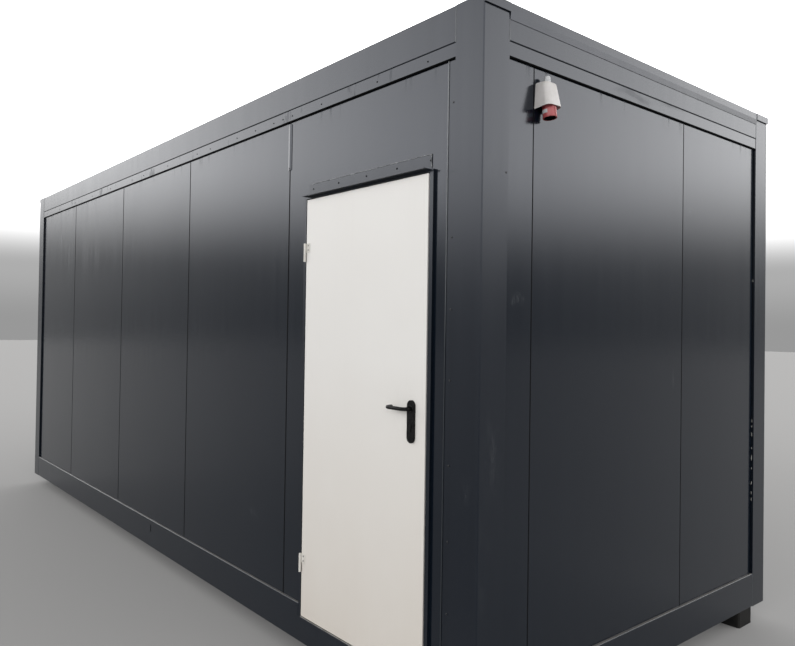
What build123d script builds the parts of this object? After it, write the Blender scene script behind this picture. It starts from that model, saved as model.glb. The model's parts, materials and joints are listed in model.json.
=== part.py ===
"""Portable site cabin: a flat-roofed steel frame cabin, six metres long, with sandwich-panel walls.

Axes: +X runs along the long side towards the end wall that carries the power inlet, -Y is the door side,
+Z is up. The origin is on the ground, under the middle of the floor plan. All sizes are in millimetres.
"""

import os

from build123d import *

os.makedirs("parts", exist_ok=True)

# Overall sizes of the steel frame, without its feet
length = 6058
width = 2438
body_height = 2800
foot_height = 90
foot_side = 150
foot_inset_x = 80
foot_inset_y = 220
foot_chamfer = 8

# Frame sections
frame_gauge = 4
bend_radius = 5
post_face = 145
base_plate = 8
floor_rail_height = 185
floor_rail_flange = 80
floor_rail_lip = 37
roof_rail_height = 145
roof_rail_flange = 90
roof_rail_top = 66
roof_ledge_drop = 40
roof_ledge = 33
face_tolerance = 0.1

# Wall panels
panel_thickness = 60
panel_recess = 13
panel_width = 1188
starter_width = 165
panel_joint = 2
tongue_depth = 12
tongue_width = 24
tongue_clearance = 1

# Floor, ceiling and roof skin
cassette_lift = 4
cassette_thickness = 118
cassette_clearance = 2
deck_thickness = 28
ceiling_thickness = 60
lining_gauge = 2
lining_lap = 22
sheet_gauge = 3
sheet_rib_height = 30
sheet_rib_top = 45
sheet_rib_base = 85
sheet_rib_count = 11
sheet_edge = 76

# Head strips, gutter lips and corner caps
strip_height = 55
strip_set_back = 1.5
strip_break = 1395
strip_gap = 2
lip_height = 35
lip_reach = 5
lip_fold = 27
lip_toe = 2
cap_proud = 2

# Door: distances along the front are measured from the near corner
door_lock_edge = 287
door_width = 864
door_height = 2040
door_thickness = 40
door_gap = 5
lock_gap = 7
door_edge_radius = 2
jamb_face = 20
head_face = 9
jamb_stop = 15
jamb_proud = 12
sill_plate = 4

# Hinges
hinge_height = 90
hinge_barrel_radius = 6
hinge_pin_radius = 3.5
hinge_running_clearance = 0.05
hinge_axis_out = 8
hinge_axis_aside = 2
hinge_from_door_ends = 260
hinge_strap = 4
hinge_plate_gauge = 3
hinge_plate_reach = 32
hinge_split = 1

# Lever handle
handle_backset = 79
handle_height = 1221
plate_width = 44
plate_height = 175
plate_gauge = 9
plate_above_spindle = 35
plate_edge = 1.5
lever_radius = 8
lever_reach = 110
lever_out = 46
lever_end_clearance = 12
lever_bend = 16
lever_hole_clearance = 2
spindle_side = 8
spindle_clearance = 1.5
seat_clearance = 0.3

# Lock
cylinder_drop = 72
cylinder_radius = 8.5
cylinder_tail_width = 10
cylinder_tail_drop = 24
cylinder_proud = 3
cylinder_clearance = 0.3
forend_width = 20
forend_height = 235
forend_gauge = 3

# Rain hood over the door
hood_reach = 45
hood_gauge = 2
hood_lip = 6
hood_flange = 64

# Cover strips beside the door
cover_gauge = 2
post_cover_width = 38
post_cover_lap_drop = 442
joint_cover_width = 32
joint_cover_length = 236
joint_cover_drop = 14
joint_cover_crown = 3

# Slot in the middle of the front floor rail
slot_width = 12
slot_height = 50
slot_centre = 125

# Power inlet on the end wall
inlet_from_corner = 360
inlet_drop = 366
inlet_height = 103
inlet_skirt = 6
inlet_tilt = 7
inlet_low_width = 92
inlet_low_depth = 74
inlet_high_width = 78
inlet_high_depth = 52
inlet_corner_cut = 22
inlet_edge_radius = 14
inlet_rim = 6
inlet_rim_depth = 9
inlet_back_width = 98
inlet_back_margin = 3
inlet_back_gauge = 5
inlet_back_corner = 12
sleeve_radius = 28
sleeve_wall = 3.5
sleeve_out = 37
sleeve_drop = 42
sleeve_inside = 20
key_width = 6
key_height = 2.5
key_clearance = 4
pin_count = 5
pin_radius = 2.6
pin_circle = 13
pin_length = 38
gland_radius = 14
gland_height = 28
gland_nut_height = 13
gland_cap_radius = 12.5
gland_out = 26

# Places that follow from the sizes
half_length = length / 2
half_width = width / 2
floor_line = foot_height
roof_line = foot_height + body_height
front = -half_width
wall_depth = panel_recess + panel_thickness
panel_low = floor_line + floor_rail_height
panel_high = roof_line - roof_rail_height
cassette_high = floor_line + cassette_lift + cassette_thickness
deck_high = cassette_high + deck_thickness
ceiling_low = panel_high - ceiling_thickness
rail_half_length = half_length - post_face
rail_half_width = half_width - post_face
room_inset = wall_depth + lining_gauge

door_hinge_edge = door_lock_edge + door_width
door_low = cassette_high + sill_plate + door_gap
door_high = door_low + door_height
frame_lock_side = door_lock_edge - lock_gap
frame_hinge_side = door_hinge_edge + door_gap
bay_start = frame_lock_side - jamb_face
bay_end = frame_hinge_side + jamb_face
frame_high = door_high + door_gap + head_face
frame_front = front + panel_recess - jamb_proud
stop_front = front + door_thickness + door_gap
frame_back = front + room_inset


def along(distance):
    """The X of a place measured along the front from the near corner."""
    return half_length - distance


def middle(low, high):
    """The point half way between two places."""
    return (low + high) / 2


def block(low, high):
    """A solid box between two corners, added in the part being built."""
    size = [abs(b - a) for a, b in zip(low, high)]
    centre = [middle(a, b) for a, b in zip(low, high)]
    with Locations(tuple(centre)):
        Box(*size)


def outline(points):
    """A closed outline of straight runs, filled as a face in the sketch being built."""
    Polygon(*points, align=None)


def floor_rail_outline(face, inward):
    """Lipped channel: the web is at the face, the flanges and the upper lip point inward."""
    low = floor_line
    high = floor_line + floor_rail_height
    reach = face + inward * floor_rail_flange
    seat = face + inward * wall_depth
    thin = inward * frame_gauge
    outline(
        [
            (face, low),
            (face, high),
            (seat, high),
            (seat, high - floor_rail_lip),
            (seat - thin, high - floor_rail_lip),
            (seat - thin, high - frame_gauge),
            (face + thin, high - frame_gauge),
            (face + thin, low + frame_gauge),
            (reach, low + frame_gauge),
            (reach, low),
        ]
    )


def roof_rail_outline(face, inward):
    """Roof rail: web, lower flange over the ceiling, top flange and a ledge for the roof sheet."""
    low = panel_high
    high = roof_line
    thin = inward * frame_gauge
    flange = face + inward * roof_rail_flange
    top = face + inward * roof_rail_top
    ledge = top + inward * roof_ledge
    ledge_high = high - roof_ledge_drop
    outline(
        [
            (face, low),
            (face, high),
            (top, high),
            (top, ledge_high),
            (ledge, ledge_high),
            (ledge, ledge_high - frame_gauge),
            (top - thin, ledge_high - frame_gauge),
            (top - thin, high - frame_gauge),
            (face + thin, high - frame_gauge),
            (face + thin, low + frame_gauge),
            (flange, low + frame_gauge),
            (flange, low),
        ]
    )


def outer_bends(section, face):
    """The two corners of a rail section that lie on its outer face."""
    return section.vertices().filter_by_position(Axis.X, face - face_tolerance, face + face_tolerance)


# Front floor rail, notched under the door, with the slot in its middle
with BuildPart() as floor_rail_front:
    with BuildSketch(Plane.YZ.offset(-rail_half_length)) as section:
        floor_rail_outline(front, 1)
        fillet(outer_bends(section, front), bend_radius)
    extrude(amount=2 * rail_half_length)
    bay_width = bay_end - bay_start
    notch_height = floor_line + floor_rail_height - cassette_high
    with Locations((along(middle(bay_start, bay_end)), front, cassette_high)):
        Box(bay_width, 2 * floor_rail_flange, 2 * notch_height,
            align=(Align.CENTER, Align.CENTER, Align.MIN), mode=Mode.SUBTRACT)
    with BuildSketch(Plane.XZ.offset(half_width)):
        with Locations((0, floor_line + slot_centre)):
            SlotOverall(slot_height, slot_width, rotation=90)
    extrude(amount=-frame_gauge, mode=Mode.SUBTRACT)
floor_rail_front.part.label = "floor_rail_front"
export_step(floor_rail_front.part, "parts/floor_rail_front.step")

with BuildPart() as floor_rail_back:
    with BuildSketch(Plane.YZ.offset(-rail_half_length)) as section:
        floor_rail_outline(half_width, -1)
        fillet(outer_bends(section, half_width), bend_radius)
    extrude(amount=2 * rail_half_length)
floor_rail_back.part.label = "floor_rail_back"
export_step(floor_rail_back.part, "parts/floor_rail_back.step")

with BuildPart() as end_floor_rails:
    with BuildSketch(Plane.XZ.offset(-rail_half_width)) as section:
        floor_rail_outline(half_length, -1)
        fillet(outer_bends(section, half_length), bend_radius)
    extrude(amount=2 * rail_half_width)
    mirror(about=Plane.YZ)
end_floor_rails.part.label = "end_floor_rails"
export_step(end_floor_rails.part, "parts/end_floor_rails.step")

# Corner posts: folded angles whose returns reach the inner face of the walls
with BuildPart() as corner_posts:
    with BuildSketch(Plane.XY.offset(floor_line)):
        outline(
            [
                (half_length, front),
                (half_length, front + post_face),
                (half_length - wall_depth, front + post_face),
                (half_length - wall_depth, front + post_face - frame_gauge),
                (half_length - frame_gauge, front + post_face - frame_gauge),
                (half_length - frame_gauge, front + frame_gauge),
                (half_length - post_face + frame_gauge, front + frame_gauge),
                (half_length - post_face + frame_gauge, front + wall_depth),
                (half_length - post_face, front + wall_depth),
                (half_length - post_face, front),
            ]
        )
    extrude(amount=body_height - frame_gauge)
    block((half_length - post_face, front, floor_line),
          (half_length, front + post_face, floor_line + base_plate))
    outer_corner = corner_posts.edges().filter_by(Axis.Z).sort_by(Axis.X)[-2:].sort_by(Axis.Y)[0]
    fillet(outer_corner, bend_radius)
    mirror(about=Plane.XZ)
    mirror(about=Plane.YZ)
corner_posts.part.label = "corner_posts"
export_step(corner_posts.part, "parts/corner_posts.step")

# Corner caps over the posts, with a lip proud of the end walls
with BuildPart() as corner_caps:
    lip_low = roof_line - lip_height
    cap_outer = half_length + lip_reach + cap_proud
    block((half_length - post_face, front, roof_line - frame_gauge),
          (cap_outer, front + post_face, roof_line))
    block((half_length, front, lip_low),
          (cap_outer, front + post_face, roof_line - frame_gauge))
    mirror(about=Plane.XZ)
    mirror(about=Plane.YZ)
corner_caps.part.label = "corner_caps"
export_step(corner_caps.part, "parts/corner_caps.step")

# Roof rails
with BuildPart() as long_roof_rails:
    with BuildSketch(Plane.YZ.offset(-rail_half_length)) as section:
        roof_rail_outline(front, 1)
        fillet(outer_bends(section, front), bend_radius)
    extrude(amount=2 * rail_half_length)
    mirror(about=Plane.XZ)
long_roof_rails.part.label = "long_roof_rails"
export_step(long_roof_rails.part, "parts/long_roof_rails.step")

with BuildPart() as end_roof_rails:
    with BuildSketch(Plane.XZ.offset(-rail_half_width)) as section:
        roof_rail_outline(half_length, -1)
        fillet(outer_bends(section, half_length).sort_by(Axis.Y)[0], bend_radius)
    extrude(amount=2 * rail_half_width)
    mirror(about=Plane.YZ)
end_roof_rails.part.label = "end_roof_rails"
export_step(end_roof_rails.part, "parts/end_roof_rails.step")

# Gutter lips along the tops of the end walls, between the corner caps. Each folds back to its rail below
with BuildPart() as gutter_lips:
    with BuildSketch(Plane.XZ.offset(-rail_half_width)):
        outline(
            [
                (half_length, roof_line),
                (half_length + lip_reach, roof_line),
                (half_length + lip_reach, lip_low),
                (half_length + lip_toe, lip_low - lip_fold),
                (half_length, lip_low - lip_fold),
            ]
        )
    extrude(amount=2 * rail_half_width)
    mirror(about=Plane.YZ)
gutter_lips.part.label = "gutter_lips"
export_step(gutter_lips.part, "parts/gutter_lips.step")

# Insulated floor cassette, cut back round the corner posts, and the deck on it
with BuildPart() as floor_cassette:
    cassette_inset = frame_gauge + cassette_clearance
    corner_cut = post_face + cassette_clearance
    with BuildSketch(Plane.XY.offset(floor_line + cassette_lift)):
        Rectangle(length - 2 * cassette_inset, width - 2 * cassette_inset)
        with GridLocations(length, width, 2, 2):
            Rectangle(2 * corner_cut, 2 * corner_cut, mode=Mode.SUBTRACT)
    extrude(amount=cassette_thickness)
floor_cassette.part.label = "floor_cassette"
export_step(floor_cassette.part, "parts/floor_cassette.step")

with BuildPart() as floor_deck:
    with BuildSketch(Plane.XY.offset(cassette_high)):
        Rectangle(length - 2 * room_inset, width - 2 * room_inset)
    extrude(amount=deck_thickness)
floor_deck.part.label = "floor_deck"
export_step(floor_deck.part, "parts/floor_deck.step")

# Ceiling panel, held up against the lower flanges of the roof rails
with BuildPart() as ceiling_panel:
    with BuildSketch(Plane.XY.offset(ceiling_low)):
        Rectangle(length - 2 * wall_depth, width - 2 * wall_depth)
    extrude(amount=ceiling_thickness)
ceiling_panel.part.label = "ceiling_panel"
export_step(ceiling_panel.part, "parts/ceiling_panel.step")

# Trapezoidal roof sheet, its ribs along the cabin, lying on the ledges of the roof rails
with BuildPart() as roof_sheet:
    sheet_half = half_width - sheet_edge
    rib_pitch = 2 * sheet_half / sheet_rib_count
    sheet_low = roof_line - roof_ledge_drop
    wave = [(-sheet_half, 0)]
    for rib in range(sheet_rib_count):
        rib_middle = -sheet_half + (rib + 0.5) * rib_pitch
        wave.append((rib_middle - sheet_rib_base / 2, 0))
        wave.append((rib_middle - sheet_rib_top / 2, sheet_rib_height))
        wave.append((rib_middle + sheet_rib_top / 2, sheet_rib_height))
        wave.append((rib_middle + sheet_rib_base / 2, 0))
    wave.append((sheet_half, 0))
    underside = [(y, sheet_low + z) for y, z in wave]
    topside = [(y, sheet_low + sheet_gauge + z) for y, z in reversed(wave)]
    with BuildSketch(Plane.YZ.offset(-half_length + sheet_edge)):
        outline(underside + topside)
    extrude(amount=length - 2 * sheet_edge)
roof_sheet.part.label = "roof_sheet"
export_step(roof_sheet.part, "parts/roof_sheet.step")

# Corner linings close the posts off from the room
with BuildPart() as corner_linings:
    lining_x = half_length - wall_depth
    lining_y = front + wall_depth
    lining_end_x = half_length - post_face - lining_lap
    lining_end_y = front + post_face + lining_lap
    with BuildSketch(Plane.XY.offset(cassette_high)):
        outline(
            [
                (lining_x, lining_y),
                (lining_x, lining_end_y),
                (lining_x - lining_gauge, lining_end_y),
                (lining_x - lining_gauge, lining_y + lining_gauge),
                (lining_end_x, lining_y + lining_gauge),
                (lining_end_x, lining_y),
            ]
        )
    extrude(amount=ceiling_low - cassette_high)
    mirror(about=Plane.XZ)
    mirror(about=Plane.YZ)
corner_linings.part.label = "corner_linings"
export_step(corner_linings.part, "parts/corner_linings.step")


def panel_outline(start, end, face, inward, tongue=True, groove=True):
    """Plan of a sandwich panel: a tongue at its start and a groove at its end, if it has them."""
    near_face = face + inward * panel_recess
    far_face = near_face + inward * panel_thickness
    half_joint = panel_joint / 2
    low = start + (half_joint if tongue else 0)
    high = end - (half_joint if groove else 0)
    centre = middle(near_face, far_face)
    half_tongue = inward * tongue_width / 2
    half_groove = half_tongue + inward * tongue_clearance
    points = [(low, near_face)]
    if tongue:
        points += [
            (low, centre - half_tongue),
            (low - tongue_depth, centre - half_tongue),
            (low - tongue_depth, centre + half_tongue),
            (low, centre + half_tongue),
        ]
    points += [(low, far_face), (high, far_face)]
    if groove:
        groove_floor = high - tongue_depth - tongue_clearance
        points += [
            (high, centre + half_groove),
            (groove_floor, centre + half_groove),
            (groove_floor, centre - half_groove),
            (high, centre - half_groove),
        ]
    points.append((high, near_face))
    return points


def joints_along(first, last, starter=0):
    """Panel joints from one post to the other, with the last panel closing the wall."""
    joints = [first]
    if starter:
        joints.append(first + starter)
    while joints[-1] + panel_width < last - starter_width:
        joints.append(joints[-1] + panel_width)
    joints.append(last)
    return joints


def wall_panel(points, low, high):
    """One upright panel from its plan, added in the part being built."""
    with BuildSketch(Plane.XY.offset(low)) as plan_of_panel:
        outline(points)
    extrude(plan_of_panel.sketch, amount=high - low)


# Front wall: panels beside and over the door, then the whole ones towards the far post
front_joints = joints_along(post_face, length - post_face)
first_joint = front_joints[1]


def on_front(points):
    """Turn a plan measured from the near corner into the front wall's own place."""
    return [(along(distance), y) for distance, y in points]


with BuildPart() as front_panel_right:
    plan = panel_outline(post_face, bay_start, front, 1, tongue=False, groove=False)
    wall_panel(on_front(plan), panel_low, panel_high)
front_panel_right.part.label = "front_panel_right_of_door"
export_step(front_panel_right.part, "parts/front_panel_right_of_door.step")

with BuildPart() as front_panel_left:
    plan = panel_outline(bay_end, first_joint, front, 1, tongue=False)
    wall_panel(on_front(plan), panel_low, panel_high)
front_panel_left.part.label = "front_panel_left_of_door"
export_step(front_panel_left.part, "parts/front_panel_left_of_door.step")

with BuildPart() as front_panel_over:
    plan = panel_outline(bay_start, bay_end, front, 1, tongue=False, groove=False)
    wall_panel(on_front(plan), frame_high, panel_high)
front_panel_over.part.label = "front_panel_over_door"
export_step(front_panel_over.part, "parts/front_panel_over_door.step")

for number, (start, end) in enumerate(zip(front_joints[1:-1], front_joints[2:]), start=2):
    last = end == front_joints[-1]
    with BuildPart() as front_panel:
        plan = panel_outline(start, end, front, 1, groove=not last)
        wall_panel(on_front(plan), panel_low, panel_high)
    front_panel.part.label = f"front_panel_{number}"
    export_step(front_panel.part, f"parts/front_panel_{number}.step")

# Back wall panels
with BuildPart() as back_wall_panels:
    for start, end in zip(front_joints[:-1], front_joints[1:]):
        plan = panel_outline(start, end, half_width, -1, start != front_joints[0], end != front_joints[-1])
        wall_panel(on_front(plan), panel_low, panel_high)
back_wall_panels.part.label = "back_wall_panels"
export_step(back_wall_panels.part, "parts/back_wall_panels.step")

# End wall panels: a narrow starter panel, a whole one and the rest
end_joints = joints_along(post_face, width - post_face, starter=starter_width)
for end_name, side in (("right", 1), ("left", -1)):
    with BuildPart() as end_wall_panels:
        for start, end in zip(end_joints[:-1], end_joints[1:]):
            plan = panel_outline(
                start, end, side * half_length, -side, start != end_joints[0], end != end_joints[-1]
            )
            wall_panel([(x, front + distance) for distance, x in plan], panel_low, panel_high)
    end_wall_panels.part.label = f"{end_name}_end_panels"
    export_step(end_wall_panels.part, f"parts/{end_name}_end_panels.step")

# Head strips: cover strips over the tops of the wall panels, the front one in two lengths
with BuildPart() as head_strips:
    strip_low = panel_high - strip_height
    strip_face = front + strip_set_back
    panel_face = front + panel_recess
    strip_high = panel_high - strip_gap
    block((along(post_face), front, strip_low),
          (along(strip_break - strip_gap / 2), panel_face, strip_high))
    block((along(strip_break + strip_gap / 2), strip_face, strip_low),
          (-rail_half_length, panel_face, strip_high))
    block((-rail_half_length, -strip_face, strip_low), (rail_half_length, -panel_face, strip_high))
    for side in (1, -1):
        block((side * (half_length - strip_set_back), -rail_half_width, strip_low),
              (side * (half_length - panel_recess), rail_half_width, strip_high))
head_strips.part.label = "head_strips"
export_step(head_strips.part, "parts/head_strips.step")

# Door frame: two jambs and a head, each with the stop that the leaf closes against
with BuildPart() as door_jambs:
    for edge, outward in ((frame_lock_side, -1), (frame_hinge_side, 1)):
        block((along(edge), frame_front, cassette_high),
              (along(edge + outward * jamb_face), frame_back, frame_high))
        block((along(edge), stop_front, cassette_high),
              (along(edge - outward * jamb_stop), frame_back, frame_high))
door_jambs.part.label = "door_jambs"
export_step(door_jambs.part, "parts/door_jambs.step")

with BuildPart() as door_head:
    head_low = door_high + door_gap
    block((along(frame_lock_side), frame_front, head_low),
          (along(frame_hinge_side), stop_front, frame_high))
    block((along(frame_lock_side + jamb_stop), stop_front, head_low - jamb_stop),
          (along(frame_hinge_side - jamb_stop), frame_back, frame_high))
door_head.part.label = "door_head"
export_step(door_head.part, "parts/door_head.step")

with BuildPart() as door_sill:
    block((along(frame_lock_side), front, cassette_high),
          (along(frame_hinge_side), stop_front, cassette_high + sill_plate))
    block((along(frame_lock_side + jamb_stop), stop_front, cassette_high),
          (along(frame_hinge_side - jamb_stop), frame_back, deck_high))
door_sill.part.label = "door_sill"
export_step(door_sill.part, "parts/door_sill.step")

# Rain hood over the door: a folded sheet with a flange on the wall, a flat shelf and a turned-up nose
with BuildPart() as rain_hood:
    hood_back = front + panel_recess
    hood_nose = hood_back - hood_reach
    hood_low = frame_high
    hood_section = [
        (hood_back, hood_low),
        (hood_nose, hood_low),
        (hood_nose, hood_low + hood_lip),
        (hood_nose + hood_gauge, hood_low + hood_lip),
        (hood_nose + hood_gauge, hood_low + hood_gauge),
        (hood_back - hood_gauge, hood_low + hood_gauge),
        (hood_back - hood_gauge, hood_low + hood_flange),
        (hood_back, hood_low + hood_flange),
    ]
    with BuildSketch(Plane.YZ.offset(along(door_hinge_edge))):
        outline(hood_section)
    extrude(amount=door_hinge_edge - frame_lock_side)
rain_hood.part.label = "rain_hood"
export_step(rain_hood.part, "parts/rain_hood.step")

# Cover strip between the near post and the wall, in two lengths
with BuildPart() as post_cover_strip:
    cover_face = front + panel_recess - cover_gauge
    cover_top = panel_high - strip_height
    lap = cover_top - post_cover_lap_drop
    for low, high in ((panel_low, lap), (lap + cover_gauge / 2, cover_top)):
        block((along(post_face), cover_face, low),
              (along(post_face + post_cover_width), front + panel_recess, high))
        block((along(post_face), front + cover_gauge, low),
              (along(post_face + cover_gauge), cover_face, high))
post_cover_strip.part.label = "post_cover_strip"
export_step(post_cover_strip.part, "parts/post_cover_strip.step")

# Crowned cover strip over the upper joint beside the door
with BuildPart() as joint_cover_strip:
    half_cover = joint_cover_width / 2
    joint_face = front + panel_recess
    with BuildSketch(Plane.XY.offset(cover_top - joint_cover_drop - joint_cover_length)):
        outline(
            [
                (along(first_joint + half_cover), joint_face),
                (along(first_joint + half_cover), joint_face - cover_gauge),
                (along(first_joint), joint_face - cover_gauge - joint_cover_crown),
                (along(first_joint - half_cover), joint_face - cover_gauge),
                (along(first_joint - half_cover), joint_face),
            ]
        )
    extrude(amount=joint_cover_length)
joint_cover_strip.part.label = "joint_cover_strip"
export_step(joint_cover_strip.part, "parts/joint_cover_strip.step")

# Door leaf, with the bores for the lever spindle and the lock, and the recess for the forend
spindle_x = along(door_lock_edge + handle_backset)
spindle_z = floor_line + handle_height
cylinder_z = spindle_z - cylinder_drop
forend_z = middle(spindle_z, cylinder_z)
spindle_across = spindle_side * 2**0.5
leaf_back = front + door_thickness


def cylinder_outline(grow):
    """Lock cylinder outline: a round barrel with a narrow tail below, grown by a clearance."""
    with Locations((spindle_x, cylinder_z)):
        Circle(cylinder_radius + grow)
    with Locations((spindle_x, cylinder_z - cylinder_tail_drop / 2)):
        Rectangle(cylinder_tail_width + 2 * grow, cylinder_tail_drop + 2 * grow)


with BuildPart() as door_leaf:
    block((along(door_hinge_edge), front, door_low), (along(door_lock_edge), leaf_back, door_high))
    fillet(door_leaf.edges().filter_by(Axis.Z), door_edge_radius)
    with BuildSketch(Plane.XZ.offset(half_width)):
        with Locations((spindle_x, spindle_z)):
            Circle(spindle_across / 2 + spindle_clearance)
        cylinder_outline(cylinder_clearance)
    extrude(amount=-door_thickness, mode=Mode.SUBTRACT)
    with Locations((along(door_lock_edge), front + door_thickness / 2, forend_z)):
        Box(2 * forend_gauge, forend_width, forend_height, mode=Mode.SUBTRACT)
door_leaf.part.label = "door_leaf"
export_step(door_leaf.part, "parts/door_leaf.step")

with BuildPart() as door_forend:
    with Locations((along(door_lock_edge), front + door_thickness / 2, forend_z)):
        Box(forend_gauge, forend_width, forend_height, align=(Align.MAX, Align.CENTER, Align.CENTER))
door_forend.part.label = "door_forend"
export_step(door_forend.part, "parts/door_forend.step")

# Lock cylinder through both plates
with BuildPart() as lock_cylinder:
    with BuildSketch(Plane.XZ.offset(half_width + plate_gauge + cylinder_proud)):
        cylinder_outline(0)
    extrude(amount=-(door_thickness + 2 * plate_gauge + 2 * cylinder_proud))
lock_cylinder.part.label = "lock_cylinder"
export_step(lock_cylinder.part, "parts/lock_cylinder.step")

# Hinges: the lower barrel, pin and strap stay with the frame, the upper barrel turns with the leaf
hinge_x = along(door_hinge_edge + hinge_axis_aside)
hinge_y = front - hinge_axis_out
hinge_middles = (door_low + hinge_from_door_ends, door_high - hinge_from_door_ends)
barrel_half = (hinge_height - hinge_split) / 2

with BuildPart() as hinge_frame_halves:
    for hinge_z in hinge_middles:
        with BuildSketch(Plane.XY.offset(hinge_z - hinge_height / 2)):
            with Locations((hinge_x, hinge_y)):
                Circle(hinge_barrel_radius)
            strap_x = hinge_x - hinge_barrel_radius
            outline(
                [
                    (strap_x, hinge_y),
                    (strap_x, frame_front),
                    (strap_x + hinge_strap, frame_front),
                    (strap_x + hinge_strap, hinge_y),
                ]
            )
        extrude(amount=barrel_half)
        with BuildSketch(Plane.XY.offset(hinge_z - hinge_height / 2)):
            with Locations((hinge_x, hinge_y)):
                Circle(hinge_pin_radius)
        extrude(amount=hinge_height)
hinge_frame_halves.part.label = "hinge_frame_halves"
export_step(hinge_frame_halves.part, "parts/hinge_frame_halves.step")

with BuildPart() as hinge_door_halves:
    for hinge_z in hinge_middles:
        with BuildSketch(Plane.XY.offset(hinge_z + hinge_split / 2)):
            with Locations((hinge_x, hinge_y)):
                Circle(hinge_barrel_radius)
            outline(
                [
                    (hinge_x, front),
                    (hinge_x, front - hinge_plate_gauge),
                    (hinge_x + hinge_plate_reach, front - hinge_plate_gauge),
                    (hinge_x + hinge_plate_reach, front),
                ]
            )
            with Locations((hinge_x, hinge_y)):
                Circle(hinge_pin_radius + hinge_running_clearance, mode=Mode.SUBTRACT)
        extrude(amount=barrel_half)
hinge_door_halves.part.label = "hinge_door_halves"
export_step(hinge_door_halves.part, "parts/hinge_door_halves.step")

# Handle plates on both faces of the leaf
plate_z = spindle_z + plate_above_spindle - plate_height / 2
for plate_name, face, outward in (("outside", front, 1), ("inside", leaf_back, -1)):
    with BuildPart() as handle_plate:
        with BuildSketch(Plane.XZ.offset(-face)):
            with Locations((spindle_x, plate_z)):
                SlotOverall(plate_height, plate_width, rotation=90)
        extrude(amount=outward * plate_gauge)
        outer_face = handle_plate.faces().sort_by(Axis.Y)[0 if outward > 0 else -1]
        chamfer(outer_face.edges(), plate_edge)
        with BuildSketch(Plane.XZ.offset(-face)):
            with Locations((spindle_x, spindle_z)):
                Circle(lever_radius + lever_hole_clearance)
            cylinder_outline(cylinder_clearance)
        extrude(amount=outward * plate_gauge, mode=Mode.SUBTRACT)
    handle_plate.part.label = f"{plate_name}_handle_plate"
    export_step(handle_plate.part, f"parts/{plate_name}_handle_plate.step")

# Levers: round bar out from the leaf, bent along it towards the hinges, and back towards it
for lever_name, face, outward in (("outside", front, -1), ("inside", leaf_back, 1)):
    neck = (spindle_x, face + outward * seat_clearance, spindle_z)
    bend_start = (spindle_x, face + outward * (lever_out - lever_bend), spindle_z)
    bend_end = (spindle_x - lever_bend, face + outward * lever_out, spindle_z)
    tip = (spindle_x - lever_reach, face + outward * lever_out, spindle_z)
    end = (spindle_x - lever_reach, face + outward * lever_end_clearance, spindle_z)
    with BuildPart() as lever:
        with BuildLine() as lever_line:
            Polyline(neck, bend_start, bend_end, tip, end)
        with BuildSketch(Plane(origin=neck, z_dir=(0, outward, 0))):
            Circle(lever_radius)
        sweep(path=lever_line.wires()[0], transition=Transition.RIGHT)
    lever.part.label = f"{lever_name}_lever"
    export_step(lever.part, f"parts/{lever_name}_lever.step")

with BuildPart() as handle_spindle:
    with BuildSketch(Plane.XZ.offset(half_width + seat_clearance)):
        with Locations((spindle_x, spindle_z)):
            Rectangle(spindle_side, spindle_side)
    extrude(amount=-(door_thickness + 2 * seat_clearance))
handle_spindle.part.label = "handle_spindle"
export_step(handle_spindle.part, "parts/handle_spindle.step")

# Power inlet on the right end wall: a hood that opens downwards, with the red sleeve and its pins
inlet_wall_x = half_length - panel_recess
inlet_y = front + inlet_from_corner
inlet_z = roof_line - inlet_drop
inlet_side = inlet_y + inlet_low_width / 2

# The opening and the sleeve lean a little outwards, towards someone plugging in from the ground
mouth = Plane.XY.rotated((0, -inlet_tilt, 0))
mouth.origin = (inlet_wall_x + sleeve_out, inlet_y, inlet_z)

# The hood widens and deepens downwards, so it starts as a wedge, and its outer edges are cut and rounded
with BuildPart() as inlet_housing:
    narrowing = (inlet_low_width - inlet_high_width) / 2
    with Locations((inlet_wall_x, inlet_side, inlet_z - inlet_skirt)):
        Wedge(
            inlet_low_depth, inlet_height + inlet_skirt, inlet_low_width,
            0, narrowing, inlet_high_depth, inlet_low_width - narrowing,
            rotation=(90, 0, 0), align=(Align.MIN, Align.MIN, Align.MIN),
        )
    nose_edges = inlet_housing.edges().sort_by(Axis.X)[-4:]
    chamfer(nose_edges - inlet_housing.edges().filter_by(Axis.Y), inlet_corner_cut)
    level_edges = inlet_housing.edges().filter_by(Plane.XY)
    wall_edges = inlet_housing.edges().filter_by_position(
        Axis.X, inlet_wall_x - face_tolerance, inlet_wall_x + face_tolerance
    )
    fillet(inlet_housing.edges() - level_edges - wall_edges, inlet_edge_radius)
    with BuildSketch(mouth):
        Rectangle(2 * inlet_low_depth, 2 * inlet_low_width)
    extrude(amount=-2 * inlet_skirt, mode=Mode.SUBTRACT)
    with BuildSketch(Plane.YZ.offset(inlet_wall_x)):
        with Locations((inlet_y, inlet_z + inlet_height / 2)):
            RectangleRounded(inlet_back_width, inlet_height + 2 * inlet_back_margin, inlet_back_corner)
    extrude(amount=inlet_back_gauge)
    with BuildSketch(mouth):
        rim_side = inlet_low_width / 2 - inlet_rim
        rim_nose = inlet_low_depth - sleeve_out - inlet_rim
        outline(
            [
                (inlet_rim - sleeve_out, -rim_side),
                (rim_nose - inlet_corner_cut, -rim_side),
                (rim_nose, inlet_corner_cut - rim_side),
                (rim_nose, rim_side - inlet_corner_cut),
                (rim_nose - inlet_corner_cut, rim_side),
                (inlet_rim - sleeve_out, rim_side),
            ]
        )
    extrude(amount=inlet_rim_depth, mode=Mode.SUBTRACT)
    with BuildSketch(mouth):
        Circle(sleeve_radius + seat_clearance)
    extrude(amount=sleeve_inside, mode=Mode.SUBTRACT)
inlet_housing.part.label = "inlet_housing"
export_step(inlet_housing.part, "parts/inlet_housing.step")

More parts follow.
